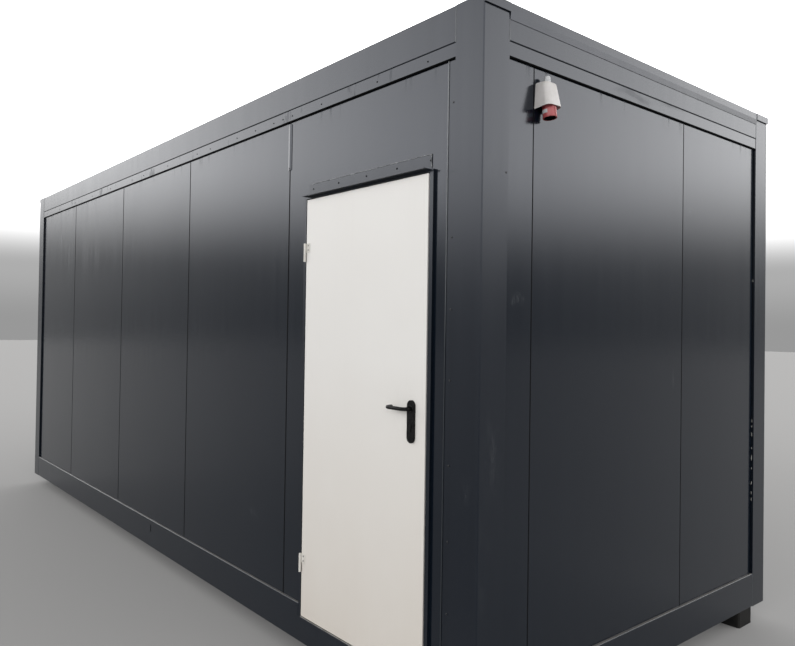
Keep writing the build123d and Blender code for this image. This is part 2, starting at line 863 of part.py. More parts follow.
with BuildPart() as inlet_sleeve:
    with BuildSketch(mouth.offset(-sleeve_drop)):
        Circle(sleeve_radius)
    extrude(amount=sleeve_drop + sleeve_inside)
    with BuildSketch(mouth.offset(-sleeve_drop)):
        Circle(sleeve_radius - sleeve_wall)
    extrude(amount=sleeve_drop + sleeve_inside - sleeve_wall, mode=Mode.SUBTRACT)
    with BuildSketch(mouth.offset(-sleeve_drop)):
        with Locations((sleeve_radius + key_height / 2 - sleeve_wall / 4, 0)):
            Rectangle(key_height + sleeve_wall / 2, key_width)
    extrude(amount=sleeve_drop - key_clearance)
inlet_sleeve.part.label = "inlet_sleeve"
export_step(inlet_sleeve.part, "parts/inlet_sleeve.step")

with BuildPart() as inlet_pins:
    with BuildSketch(mouth.offset(sleeve_inside - sleeve_wall - pin_length)):
        with PolarLocations(pin_circle, pin_count):
            Circle(pin_radius)
    extrude(amount=pin_length)
inlet_pins.part.label = "inlet_pins"
export_step(inlet_pins.part, "parts/inlet_pins.step")

with BuildPart() as inlet_gland:
    with BuildSketch(Plane.XY.offset(inlet_z + inlet_height)):
        with Locations((inlet_wall_x + gland_out, inlet_y)):
            RegularPolygon(gland_radius, 6)
    extrude(amount=gland_nut_height)
    with BuildSketch(Plane.XY.offset(inlet_z + inlet_height + gland_nut_height)):
        with Locations((inlet_wall_x + gland_out, inlet_y)):
            Circle(gland_cap_radius)
    extrude(amount=gland_height - gland_nut_height)
inlet_gland.part.label = "inlet_gland"
export_step(inlet_gland.part, "parts/inlet_gland.step")

# Feet under the end rails
with BuildPart() as feet:
    with BuildSketch(Plane.XY):
        with GridLocations(length - 2 * foot_inset_x, width - 2 * foot_inset_y, 2, 2):
            Rectangle(foot_side, foot_side)
    extrude(amount=foot_height)
    chamfer(feet.edges().filter_by(Axis.Z), foot_chamfer)
feet.part.label = "feet"
export_step(feet.part, "parts/feet.step")
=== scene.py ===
# %% [markdown]
# # A portable site cabin, dressed in Blender
#
# The cabin was built as solids in a CAD program: posts, rails, panels, door, handle and power inlet.
# This lesson loads those solids as a fixed frame and gives them what CAD leaves out. That is paint with
# dust and runs on it, rubber seals, screws, a rounded lever, a moulded inlet hood and a soft light.
# Everything is in metres. +X points along the cabin to the end wall with the inlet, the door is on the
# -Y side, and +Z is up.

import json
import math

import bmesh
import bpy
from mathutils import Matrix, Vector


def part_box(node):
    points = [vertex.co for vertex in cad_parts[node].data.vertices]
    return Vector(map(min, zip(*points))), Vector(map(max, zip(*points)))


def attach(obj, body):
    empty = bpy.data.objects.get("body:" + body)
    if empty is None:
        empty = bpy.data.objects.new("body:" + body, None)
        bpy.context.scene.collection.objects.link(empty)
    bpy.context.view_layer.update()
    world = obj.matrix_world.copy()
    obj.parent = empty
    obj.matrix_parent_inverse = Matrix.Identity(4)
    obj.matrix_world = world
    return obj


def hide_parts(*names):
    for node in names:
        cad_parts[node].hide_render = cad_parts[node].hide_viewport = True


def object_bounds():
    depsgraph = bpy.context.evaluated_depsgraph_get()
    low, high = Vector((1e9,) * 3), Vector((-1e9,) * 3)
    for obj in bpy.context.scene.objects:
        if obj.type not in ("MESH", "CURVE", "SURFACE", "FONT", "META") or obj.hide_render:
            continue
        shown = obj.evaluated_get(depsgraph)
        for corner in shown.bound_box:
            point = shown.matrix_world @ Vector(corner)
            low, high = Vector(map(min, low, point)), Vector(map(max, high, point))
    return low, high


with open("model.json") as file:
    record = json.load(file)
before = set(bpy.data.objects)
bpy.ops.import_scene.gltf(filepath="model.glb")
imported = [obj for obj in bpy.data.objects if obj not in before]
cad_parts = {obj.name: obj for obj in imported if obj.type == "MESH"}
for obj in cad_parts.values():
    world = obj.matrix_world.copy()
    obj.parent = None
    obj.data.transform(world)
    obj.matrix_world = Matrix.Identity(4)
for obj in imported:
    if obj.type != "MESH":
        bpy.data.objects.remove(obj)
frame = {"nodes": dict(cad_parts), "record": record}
cad_low, cad_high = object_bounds()
print("solids:", len(frame["nodes"]), "overall size:", [round(v, 3) for v in cad_high - cad_low])

# %% [markdown]
# ## Places that the later steps share
#
# Every new piece is placed from the box of a solid that carries it. The frame's own corners are read
# once here, so a screw or a seal finds its wall without a number of its own.

# %% Read the main places from the solids
post_low, post_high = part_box("corner_posts")
wall_end = post_high.x
wall_front = post_low.y
post_face = 0.145
panel_low, panel_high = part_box("front_panel_2")
panel_front = panel_low.y
end_panel_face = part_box("right_end_panels")[1].x
strip_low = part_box("head_strips")[0].z
rail_top = panel_low.z
roof_line = cad_high.z
door_low, door_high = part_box("door_leaf")
spindle_low, spindle_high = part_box("handle_spindle")
spindle = (spindle_low + spindle_high) / 2
print("end wall at x =", round(wall_end, 3), "door wall at y =", round(wall_front, 3))

# %% [markdown]
# ## The camera
#
# A photographer stood just off the door corner and held the camera at head height, turned slightly to
# one side. In Blender that is a turn about Z for the heading, a tilt, and a small roll about the line of
# sight. The frame was cropped off centre, which a small lens shift repeats.

# %% Set up the camera
heading = math.radians(51.108)
tilt = math.radians(0.757)
roll = math.radians(0.865)
bpy.ops.object.select_all(action="DESELECT")
bpy.ops.object.camera_add(location=(4.8225, -3.1956, 1.6469))
camera = bpy.context.object
camera.name = "corner_view"
aim = Matrix.Rotation(heading, 4, "Z") @ Matrix.Rotation(math.pi / 2 + tilt, 4, "X")
camera.rotation_euler = (aim @ Matrix.Rotation(roll, 4, "Z")).to_euler()
camera.data.sensor_width = 36
camera.data.lens = 32.446
camera.data.shift_x = 0.0366
camera.data.shift_y = -0.0087
bpy.context.scene.camera = camera
print("camera lens:", camera.data.lens, "mm")

# %% [markdown]
# ## Floor and light
#
# Dark satin paint shows what it reflects more than its own colour. A studio would hang a large pale
# cloth around the cabin, bright above head height and dim near the floor. A world shader that is
# ramped by height does the same with no edges to show in the paint. The cloth is the same from every
# side and the floor is one plain grey, so the paint is lit alike wherever the camera stands.

# %% Lay the studio floor
bpy.ops.object.select_all(action="DESELECT")
bpy.ops.mesh.primitive_plane_add(size=120, location=(0, 0, 0))
floor = bpy.context.object
floor.name = "studio_floor"
floor_finish = bpy.data.materials.new("pale_studio_floor")
floor_finish.use_nodes = True
floor_shader = floor_finish.node_tree.nodes["Principled BSDF"]
floor_shader.inputs["Base Color"].default_value = (0.46, 0.455, 0.45, 1)
floor_shader.inputs["Roughness"].default_value = 0.95
floor_shader.inputs["Specular IOR Level"].default_value = 0.1
floor.data.materials.append(floor_finish)
print("floor laid")

# %% Hang the soft studio cloth as a world ramp
world = bpy.data.worlds.new("studio_cloth")
bpy.context.scene.world = world
world.use_nodes = True
cloth = world.node_tree
cloth_place = cloth.nodes.new("ShaderNodeTexCoord")
cloth_axes = cloth.nodes.new("ShaderNodeSeparateXYZ")
cloth.links.new(cloth_place.outputs["Generated"], cloth_axes.inputs[0])


cloth_ramp = cloth.nodes.new("ShaderNodeValToRGB")
cloth_ramp.color_ramp.interpolation = "EASE"
cloth_tones = ((0.0, 0.09), (0.07, 0.12), (0.22, 1.0), (0.42, 0.80), (0.56, 0.16), (1.0, 0.05))
while len(cloth_ramp.color_ramp.elements) < len(cloth_tones):
    cloth_ramp.color_ramp.elements.new(0.5)
for element, (place, tone) in zip(cloth_ramp.color_ramp.elements, cloth_tones):
    element.position = place
    element.color = (tone, tone, tone, 1)
cloth.links.new(cloth_axes.outputs["Z"], cloth_ramp.inputs["Fac"])
cloth.links.new(cloth_ramp.outputs["Color"], cloth.nodes["Background"].inputs["Color"])
cloth.nodes["Background"].inputs["Strength"].default_value = 3.5
bpy.context.scene.view_settings.view_transform = "Standard"
print("studio cloth with", len(cloth_tones), "tones, the same from every side")

# %% [markdown]
# ## A small kit for finishes
#
# A finish is a Principled shader with a few textures in front of it. The helpers below keep each recipe
# short: `texture` adds a node and links or sets its inputs, `ranged` carries a value to another range, and
# `mix_of` lays one colour over another by a mask. All textures read Object coordinates, so a pattern
# stays on the piece when the door swings.

# %% Helpers for finishes
def new_finish(name, roughness=0.5, metallic=0.0, specular=0.5):
    """A material with its node tree, its shader and the Object coordinates that its textures read."""
    finish = bpy.data.materials.new(name)
    finish.use_nodes = True
    tree = finish.node_tree
    shader = tree.nodes["Principled BSDF"]
    shader.inputs["Roughness"].default_value = roughness
    shader.inputs["Metallic"].default_value = metallic
    shader.inputs["Specular IOR Level"].default_value = specular
    place = tree.nodes.new("ShaderNodeTexCoord").outputs["Object"]
    return finish, tree, shader, place


def texture(tree, kind, output, settings=None, **inputs):
    """Add a node, set or link its inputs by name, and give one of its outputs."""
    node = tree.nodes.new(kind)
    for name, value in (settings or {}).items():
        setattr(node, name, value)
    for name, value in inputs.items():
        socket = node.inputs[name.replace("_", " ")]
        if isinstance(value, bpy.types.NodeSocket):
            tree.links.new(value, socket)
        else:
            socket.default_value = value
    return node.outputs[output]


def stretched(tree, place, scale):
    """The coordinates scaled by axis, to stretch a pattern."""
    return texture(tree, "ShaderNodeMapping", "Vector", Vector=place, Scale=scale)


def noise(tree, place, scale, detail=3.0, roughness=0.55):
    """Cloudy grey noise around one half."""
    inputs = {"Vector": place, "Scale": scale, "Detail": detail, "Roughness": roughness}
    return texture(tree, "ShaderNodeTexNoise", "Fac", **inputs)


def maths(tree, operation, first, second=0.0):
    """One sum on two values, each a socket or a number."""
    node = tree.nodes.new("ShaderNodeMath")
    node.operation = operation
    for socket, value in zip(node.inputs, (first, second)):
        if isinstance(value, bpy.types.NodeSocket):
            tree.links.new(value, socket)
        else:
            socket.default_value = value
    return node.outputs[0]


def ranged(tree, value, low, high, to_low=0.0, to_high=1.0):
    """Carry a value from one range to another, and hold it there."""
    node = tree.nodes.new("ShaderNodeMapRange")
    tree.links.new(value, node.inputs["Value"])
    node.inputs["From Min"].default_value = low
    node.inputs["From Max"].default_value = high
    node.inputs["To Min"].default_value = to_low
    node.inputs["To Max"].default_value = to_high
    return node.outputs["Result"]


def mix_of(tree, mask, under, over):
    """Lay one colour over another by a mask. A colour is a socket or three numbers."""
    node = tree.nodes.new("ShaderNodeMix")
    node.data_type = "RGBA"
    tree.links.new(mask, node.inputs["Factor"])
    for socket, colour in ((node.inputs["A"], under), (node.inputs["B"], over)):
        target = [s for s in node.inputs if s.name == socket.name and s.type == "RGBA"][0]
        if isinstance(colour, bpy.types.NodeSocket):
            tree.links.new(colour, target)
        else:
            target.default_value = (*colour, 1)
    return [s for s in node.outputs if s.type == "RGBA"][0]


def relief(tree, shader, height, distance, strength=1.0):
    """Let a grey value raise the surface by up to a distance in metres."""
    bump = tree.nodes.new("ShaderNodeBump")
    tree.links.new(height, bump.inputs["Height"])
    bump.inputs["Distance"].default_value = distance
    bump.inputs["Strength"].default_value = strength
    tree.links.new(bump.outputs["Normal"], shader.inputs["Normal"])


def axes_of(tree, vector):
    """The X, Y and Z of a vector."""
    node = tree.nodes.new("ShaderNodeSeparateXYZ")
    tree.links.new(vector, node.inputs[0])
    return node.outputs


def facing(tree, axis):
    """White where the surface looks along an axis, as up at the sky, and black elsewhere."""
    normal = tree.nodes.new("ShaderNodeNewGeometry").outputs["Normal"]
    return ranged(tree, axes_of(tree, normal)[axis], 0.55, 0.95)


print("finish helpers ready")

# %% [markdown]
# ## Anthracite paint and panel coating
#
# The frame is folded steel with a sprayed anthracite paint, the walls have a smooth factory coating of
# the same colour. On both, rain leaves long faint runs, dust lies on every ledge, and the lower half
# metre is splashed. The coating is flatter and glossier, the paint has a fine orange peel. The walls'
# inner faces are white, so the panel finish changes to white inside the room. The strength of the gloss
# is one number, set on the shader's own socket, because an export loses one that comes through a link.
# So the wear is in the colour and the roughness.

# %% Mix the two anthracite finishes
anthracite = (0.0026, 0.0052, 0.0098)
anthracite_worn = (0.0060, 0.0100, 0.0160)
dust = (0.20, 0.19, 0.175)
inner_white = (0.74, 0.74, 0.72)
paint_sheen = 0.47
# A blue tint on the paint's reflections: painted reflection colour of a blue sky, since the studio cloth is
# grey.
painted_sky_reflection_tint = (0.88, 0.91, 1.0, 1)


def smudge(tree, place, centre, size, grain):
    """A soft cloudy patch around a point: size gives its half length along each axis."""
    shifted = texture(tree, "ShaderNodeVectorMath", "Vector", {"operation": "SUBTRACT"})
    node = shifted.node
    tree.links.new(place, node.inputs[0])
    node.inputs[1].default_value = centre
    scaled = tree.nodes.new("ShaderNodeVectorMath")
    scaled.operation = "DIVIDE"
    tree.links.new(shifted, scaled.inputs[0])
    scaled.inputs[1].default_value = size
    length = tree.nodes.new("ShaderNodeVectorMath")
    length.operation = "LENGTH"
    tree.links.new(scaled.outputs["Vector"], length.inputs[0])
    near = ranged(tree, length.outputs["Value"], 1.0, 0.2)
    cloud = ranged(tree, noise(tree, stretched(tree, place, (1.6, 1.6, 0.5)), grain, 5.0, 0.7), 0.46, 0.68)
    return maths(tree, "MULTIPLY", near, cloud)


def anthracite_finish(name, peel, gloss, marks=(), panels=False, blotted=False):
    """Weathered anthracite: runs, dust on ledges, a splashed foot, and its own marks."""
    finish, tree, shader, place = new_finish(name, specular=paint_sheen)
    # The specular tint turns every reflection of the paint blue: a painted sky reflection.
    shader.inputs["Specular Tint"].default_value = painted_sky_reflection_tint
    runs = noise(tree, stretched(tree, place, (9, 9, 0.22)), 2.2, 4.0, 0.6)
    clouds = noise(tree, place, 0.9, 2.0)
    worn = ranged(tree, maths(tree, "MULTIPLY", runs, clouds), 0.18, 0.42, 0.0, 0.30)
    colour = mix_of(tree, worn, anthracite, anthracite_worn)
    height = axes_of(tree, place)["Z"]
    spatter = ranged(tree, noise(tree, place, 34, 6, 0.7), 0.5, 0.75)
    splash = maths(tree, "MULTIPLY", ranged(tree, height, 0.62, 0.1), spatter)
    colour = mix_of(tree, maths(tree, "MULTIPLY", splash, 0.035), colour, dust)
    for centre, size, grain, weight in marks:
        patch = maths(tree, "MULTIPLY", smudge(tree, place, centre, size, grain), weight)
        colour = mix_of(tree, patch, colour, (0.16, 0.17, 0.175))
    settled = ranged(tree, noise(tree, place, 12, 4), 0.25, 0.6, 0.35, 0.75)
    ledge = maths(tree, "MULTIPLY", facing(tree, "Z"), settled)
    colour = mix_of(tree, ledge, colour, dust)
    rough = ranged(tree, runs, 0.3, 0.7, gloss - 0.02, gloss + 0.03)
    if panels:
        streaks = ranged(tree, noise(tree, stretched(tree, place, (13, 1, 0.7)), 1.0, 3.0, 0.6), 0.46, 0.66)
        weathered = maths(tree, "MULTIPLY", ranged(tree, axes_of(tree, place)["X"], 0.3, -1.0), streaks)
        weathered = maths(tree, "MULTIPLY", weathered, ranged(tree, height, 1.8, 2.15))
        rough = maths(tree, "ADD", rough, maths(tree, "MULTIPLY", weathered, 0.13))
        drips = ranged(tree, noise(tree, stretched(tree, place, (34, 34, 2.5)), 1.0, 3.0), 0.56, 0.66)
        under_strip = ranged(tree, height, strip_low - 0.10, strip_low - 0.01)
        dripped = maths(tree, "MULTIPLY", drips, under_strip)
        rough = maths(tree, "ADD", rough, maths(tree, "MULTIPLY", dripped, 0.2))
        across = axes_of(tree, place)
        in_x = maths(tree, "LESS_THAN", maths(tree, "ABSOLUTE", across["X"]), wall_end - 0.05)
        in_y = maths(tree, "LESS_THAN", maths(tree, "ABSOLUTE", across["Y"]), -wall_front - 0.05)
        lined = maths(tree, "MULTIPLY", in_x, in_y)
        colour = mix_of(tree, lined, colour, inner_white)
    if blotted:
        blots = ranged(tree, noise(tree, stretched(tree, place, (17, 1, 5)), 1.0, 3.0, 0.6), 0.60, 0.67)
        rough = maths(tree, "ADD", rough, maths(tree, "MULTIPLY", blots, 0.2))
    dusty_rough = maths(tree, "MAXIMUM", rough, maths(tree, "MULTIPLY", ledge, 0.8))
    tree.links.new(colour, shader.inputs["Base Color"])
    tree.links.new(dusty_rough, shader.inputs["Roughness"])
    fine = noise(tree, place, peel, 1.0)
    wave = maths(tree, "MULTIPLY", noise(tree, stretched(tree, place, (1.0, 1.0, 0.55)), 1.6, 1.0), 26.0)
    relief(tree, shader, maths(tree, "ADD", fine, wave), 0.00006)
    return finish


post_marks = [
    ((wall_end - 0.06, wall_front, 1.02), (0.05, 0.02, 0.10), 22, 0.08),
    ((wall_end, wall_front + 0.03, 0.75), (0.02, 0.05, 0.30), 16, 0.05),
    ((wall_end, wall_front + 0.07, 1.15), (0.02, 0.06, 0.22), 20, 0.09),
    ((wall_end, wall_front + 0.05, 2.25), (0.02, 0.05, 0.12), 18, 0.10),
]
wall_marks = [
    ((end_panel_face, wall_front + 0.22, 1.76), (0.02, 0.06, 0.035), 40, 0.30),
    ((end_panel_face, wall_front + 1.42, 1.45), (0.02, 0.02, 0.12), 24, 0.12),
    ((end_panel_face, wall_front + 1.569, 2.248), (0.02, 0.02, 0.02), 90, 0.55),
    ((wall_end - 1.65, panel_front, 0.61), (0.10, 0.02, 0.05), 40, 0.10),
]
frame_paint = anthracite_finish("anthracite_frame_paint", 420, 0.24, post_marks)
strip_paint = anthracite_finish("anthracite_strip_paint", 420, 0.17, blotted=True)
panel_coating = anthracite_finish("anthracite_panel_coating", 900, 0.13, wall_marks, panels=True)
print("mixed:", frame_paint.name, panel_coating.name)

# %% [markdown]
# ## Zinc, aluminium, vinyl and white linings
#
# The roof sheet and the cassette's underside are galvanised, with the flat crystals of a zinc bath.
# Voronoi cells give each crystal its own tone. The sill is brushed along its length, the floor is a
# speckled grey vinyl, and the linings are plain white coated sheet with a little unevenness.

# %% Mix zinc and aluminium
zinc_finish, tree, shader, place = new_finish("galvanised_zinc", metallic=0.85)
crystals = texture(tree, "ShaderNodeTexVoronoi", "Color", Vector=place, Scale=55.0)
crystal_tone = axes_of(tree, crystals)["X"]
zinc_tone = mix_of(tree, crystal_tone, (0.17, 0.18, 0.185), (0.25, 0.26, 0.27))
stain = ranged(tree, noise(tree, stretched(tree, place, (0.6, 3, 3)), 1.4, 5.0), 0.45, 0.75, 0.0, 0.5)
tree.links.new(mix_of(tree, stain, zinc_tone, (0.13, 0.125, 0.115)), shader.inputs["Base Color"])
tree.links.new(ranged(tree, crystal_tone, 0.0, 1.0, 0.38, 0.55), shader.inputs["Roughness"])

sill_finish, tree, shader, place = new_finish("brushed_sill_aluminium", metallic=0.9)
brushing = noise(tree, stretched(tree, place, (4, 700, 700)), 1.0, 3.0)
tread = ranged(tree, noise(tree, place, 18, 4.0), 0.4, 0.7)
tree.links.new(mix_of(tree, tread, (0.58, 0.58, 0.57), (0.40, 0.39, 0.37)), shader.inputs["Base Color"])
tree.links.new(ranged(tree, brushing, 0.3, 0.7, 0.25, 0.48), shader.inputs["Roughness"])
relief(tree, shader, brushing, 0.00005)
print("mixed:", zinc_finish.name, sill_finish.name)

# %% Mix the room's finishes
vinyl_finish, tree, shader, place = new_finish("speckled_floor_vinyl", roughness=0.5)
speck = ranged(tree, noise(tree, place, 260, 2.0, 0.7), 0.52, 0.62)
vinyl = mix_of(tree, speck, (0.24, 0.25, 0.26), (0.36, 0.37, 0.38))
scuffed = ranged(tree, noise(tree, place, 2.5, 5.0), 0.5, 0.75, 0.0, 0.4)
tree.links.new(mix_of(tree, scuffed, vinyl, (0.17, 0.165, 0.16)), shader.inputs["Base Color"])
tree.links.new(ranged(tree, scuffed, 0.0, 0.4, 0.42, 0.62), shader.inputs["Roughness"])
relief(tree, shader, noise(tree, place, 500, 1.0), 0.00008)

lining_finish, tree, shader, place = new_finish("white_room_lining", roughness=0.45)
aged = ranged(tree, noise(tree, place, 1.3, 4.0), 0.4, 0.7, 0.0, 0.6)
tree.links.new(mix_of(tree, aged, (0.76, 0.76, 0.74), (0.70, 0.69, 0.66)), shader.inputs["Base Color"])
relief(tree, shader, noise(tree, place, 600, 1.0), 0.00004)
print("mixed:", vinyl_finish.name, lining_finish.name)

# %% [markdown]
# ## The door, its handle and the inlet's plastics
#
# The leaf is off-white satin paint. Hands grey it around the lever, and it grows darker and warmer
# towards its foot. The lever is black nylon, hardly glossy, with a fine grain. The inlet is off-white and
# faded red plastic.

# %% Mix the door paint
door_finish, tree, shader, place = new_finish("off_white_door_paint", specular=0.45)
height = axes_of(tree, place)["Z"]
clean = (0.74, 0.725, 0.70)
greyed = ranged(tree, noise(tree, place, 1.7, 4.0), 0.4, 0.68, 0.0, 0.4)
soft_grey = mix_of(tree, greyed, clean, (0.71, 0.69, 0.66))
uneven = ranged(tree, noise(tree, stretched(tree, place, (1, 1, 0.5)), 3.0, 3.0), 0.3, 0.7, 0.8, 1.0)
# The leaf grows darker and warmer from 1.5 m down to its foot.
low_darkening = maths(tree, "MULTIPLY", ranged(tree, height, 1.5, 0.2), uneven)
door_colour = mix_of(tree, maths(tree, "MULTIPLY", low_darkening, 0.85), soft_grey, (0.58, 0.53, 0.47))
hand = smudge(tree, place, (spindle.x - 0.03, wall_front, spindle.z - 0.02), (0.16, 0.06, 0.17), 22)
door_colour = mix_of(tree, maths(tree, "MULTIPLY", hand, 0.18), door_colour, (0.60, 0.58, 0.55))
run_mask = ranged(tree, noise(tree, stretched(tree, place, (26, 26, 0.5)), 1.0, 3.0), 0.6, 0.78, 0.0, 0.14)
door_colour = mix_of(tree, run_mask, door_colour, (0.66, 0.64, 0.61))
tree.links.new(door_colour, shader.inputs["Base Color"])
tree.links.new(ranged(tree, noise(tree, place, 5, 4.0), 0.3, 0.7, 0.33, 0.45), shader.inputs["Roughness"])
relief(tree, shader, noise(tree, place, 420, 1.0), 0.00005)
print("mixed:", door_finish.name)


# %% Mix the small parts' finishes
def speckled_finish(name, tone, second, grain, roughness, metallic=0.0, depth=0.00003, specular=0.5):
    """A two-toned finish with a fine grain, for small moulded or plated parts."""
    finish, tree, shader, place = new_finish(name, metallic=metallic, specular=specular)
    cloud = ranged(tree, noise(tree, place, grain, 5.0, 0.6), 0.38, 0.68)
    tree.links.new(mix_of(tree, cloud, tone, second), shader.inputs["Base Color"])
    tree.links.new(ranged(tree, cloud, 0, 1, roughness - 0.05, roughness + 0.07), shader.inputs["Roughness"])
    relief(tree, shader, noise(tree, place, grain * 25, 1.0), depth)
    return finish


hinge_finish = speckled_finish("white_hinge_paint", (0.66, 0.64, 0.60), (0.58, 0.555, 0.51), 40, 0.4)
handle_finish = speckled_finish(
    "black_handle_nylon", (0.0035, 0.0035, 0.004), (0.006, 0.006, 0.006), 60, 0.30, specular=0.16
)
cylinder_finish = speckled_finish(
    "blackened_lock_cylinder", (0.004, 0.004, 0.004), (0.009, 0.009, 0.009), 200, 0.35, specular=0.16
)
nickel_finish = speckled_finish("nickel_plate", (0.55, 0.53, 0.49), (0.44, 0.42, 0.39), 120, 0.28, 1.0)
inlet_white_finish = speckled_finish(
    "off_white_inlet_plastic", (0.62, 0.60, 0.59), (0.56, 0.54, 0.52), 35, 0.38
)
inlet_red_finish = speckled_finish("faded_red_plastic", (0.36, 0.055, 0.062), (0.42, 0.115, 0.112), 45, 0.36)
gland_finish = speckled_finish("pale_gland_plastic", (0.53, 0.54, 0.55), (0.45, 0.46, 0.47), 60, 0.42)
pin_finish = speckled_finish("plated_pins", (0.62, 0.58, 0.48), (0.5, 0.46, 0.38), 300, 0.25, 1.0)
# The foot block is black, taken darker still as painted shade for the shadow under the cabin.
black_foot_and_shade_finish = speckled_finish(
    "black_foot_block_with_painted_shade", (0.006, 0.006, 0.006), (0.015, 0.014, 0.013), 25, 0.8, depth=0.0004, specular=0.2
)
# This black finish is rubber for the seals, the door gasket and the panel joints; on the strips under the
# head strips, beside the posts and in the inlet's lining it is painted shade.
rubber_and_shadow_finish = speckled_finish(
    "black_rubber_and_painted_shadow", (0.002, 0.002, 0.0025), (0.005, 0.005, 0.005), 30, 0.85, specular=0.1
)
# The weld beads' paler paint is partly wear and partly a painted highlight along each bead.
worn_and_highlit_edge_finish = speckled_finish(
    "worn_anthracite_edge_with_painted_highlight", (0.045, 0.052, 0.058), (0.075, 0.082, 0.088), 30, 0.38
)
# The hem's paint grows lighter from 1.55 m up to 2.4 m: a painted highlight that grows towards the top.
hem_highlight_finish, tree, shader, place = new_finish("cover_strip_hem_painted_highlight", roughness=0.3)
highlight_by_height = ranged(tree, axes_of(tree, place)["Z"], 1.55, 2.4)
hem_highlight_colour = mix_of(tree, highlight_by_height, (0.022, 0.027, 0.033), (0.150, 0.160, 0.170))
tree.links.new(hem_highlight_colour, shader.inputs["Base Color"])
relief(tree, shader, noise(tree, place, 300, 1.0), 0.00003)
# The pale finish is chipped paint on the hood flange's top, and a painted highlight on its end.
chipped_and_highlit_finish = speckled_finish("chipped_and_highlit_sheet_edge", (0.03, 0.035, 0.04), (0.40, 0.41, 0.42), 45, 0.45)
dark_screw_finish = speckled_finish(
    "grimy_screw_heads", (0.004, 0.005, 0.006), (0.012, 0.012, 0.012), 500, 0.5, specular=0.1
)
fleck_finish = speckled_finish("old_pale_sealant", (0.42, 0.41, 0.38), (0.26, 0.25, 0.23), 300, 0.7)
screw_finish = speckled_finish(
    "painted_screw_heads", (0.02, 0.023, 0.026), (0.06, 0.06, 0.058), 500, 0.35, 0.2
)
zinc_screw_finish = speckled_finish(
    "zinc_screw_heads", (0.24, 0.24, 0.23), (0.17, 0.165, 0.155), 400, 0.4, 0.9
)
print("mixed the finishes of the small parts")

# %% Give every solid its finish
finish_of_slot = {
    "frame": frame_paint,
    "wall": panel_coating,
    "zinc": zinc_finish,
    "floor_covering": vinyl_finish,
    "inner_white": lining_finish,
    "sill_alu": sill_finish,
    "hinge_white": hinge_finish,
    "inlet_white": inlet_white_finish,
    "inlet_red": inlet_red_finish,
    "pin_metal": pin_finish,
    "gland_white": gland_finish,
    "foot_black": black_foot_and_shade_finish,
    "door_white": door_finish,
    "handle_black": handle_finish,
    "cylinder_dark": cylinder_finish,
    "lock_metal": nickel_finish,
}
finish_of_node = {
    "long_roof_rails": frame_paint,
    "end_roof_rails": frame_paint,
    "head_strips": strip_paint,
    "gutter_lips": frame_paint,
    "door_jambs": frame_paint,
}
for part in frame["record"]["subparts"]:
    solid = frame["nodes"][part["node"]]
    for slot in solid.material_slots:
        slot.material = finish_of_node.get(part["node"], finish_of_slot[part["material_slot"]])

# %% [markdown]
# ## A small kit for modelling
#
# New pieces are made with the same operators that a hand would use. `begin` clears the selection,
# because the solids are selected after loading. `pick` selects faces in edit mode by a test on each
# face. `settle` bakes an object's place into its mesh, and `hand_over` names it, gives it its finish
# and lets it ride on the cabin, the door or the handle.

# %% Helpers for modelling
def begin():
    """Object mode with nothing selected."""
    if bpy.context.object and bpy.context.object.mode != "OBJECT":
        bpy.ops.object.mode_set(mode="OBJECT")
    bpy.ops.object.select_all(action="DESELECT")


def edit(mode="FACE"):
    """Edit mode on the active object, with nothing selected."""
    bpy.ops.object.mode_set(mode="EDIT")
    bpy.ops.mesh.select_mode(type=mode)
    bpy.ops.mesh.select_all(action="DESELECT")


def pick(test, kind="faces"):
    """Select the faces, edges or vertices that pass a test, and give their number."""
    mesh = bpy.context.object.data
    working = bmesh.from_edit_mesh(mesh)
    for item in getattr(working, kind):
        item.select_set(bool(test(item)))
    bmesh.update_edit_mesh(mesh)
    return sum(item.select for item in getattr(working, kind))


def settle(piece):
    """Put the object's place, turn and scale into its mesh."""
    begin()
    piece.select_set(True)
    bpy.context.view_layer.objects.active = piece
    bpy.ops.object.transform_apply(location=True, rotation=True, scale=True)


def hand_over(piece, name, body, finish, smooth=35):
    """Name a finished piece, smooth it, give it its finish, and let it ride on a body."""
    settle(piece)
    if smooth:
        bpy.ops.object.shade_smooth_by_angle(angle=math.radians(smooth))
    piece.name = name
    piece.data.name = name
    piece.data.materials.clear()
    piece.data.materials.append(finish)
    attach(piece, body)
    print(name, "has", len(piece.data.polygons), "faces")
    return piece


def join(parts):
    """Join several objects in one."""
    begin()
    for part in parts:
        part.select_set(True)
    bpy.context.view_layer.objects.active = parts[0]
    if len(parts) > 1:
        bpy.ops.object.join()
    return bpy.context.object


def bar(low, high, round_off=0.0):
    """A straight bar between two corners, with its long edges rounded."""
    begin()
    size = [b - a for a, b in zip(low, high)]
    centre = [(a + b) / 2 for a, b in zip(low, high)]
    bpy.ops.mesh.primitive_cube_add(size=1, location=centre, scale=size)
    piece = bpy.context.object
    settle(piece)
    if round_off:
        edit("EDGE")
        bpy.ops.mesh.select_all(action="SELECT")
        bpy.ops.mesh.bevel(offset=round_off, segments=2, affect="EDGES")
        bpy.ops.object.mode_set(mode="OBJECT")
    return piece


def set_out(master, places):
    """Copy a small part, which points along +Z, to each place and outlook, and join the copies."""
    copies = []
    for point, outlook in places:
        copy = master.copy()
        copy.data = master.data.copy()
        bpy.context.scene.collection.objects.link(copy)
        turn = Vector((0, 0, 1)).rotation_difference(Vector(outlook)).to_matrix().to_4x4()
        copy.matrix_world = Matrix.Translation(point) @ turn
        copies.append(copy)
    bpy.data.objects.remove(master)
    return join(copies)


print("modelling helpers ready")

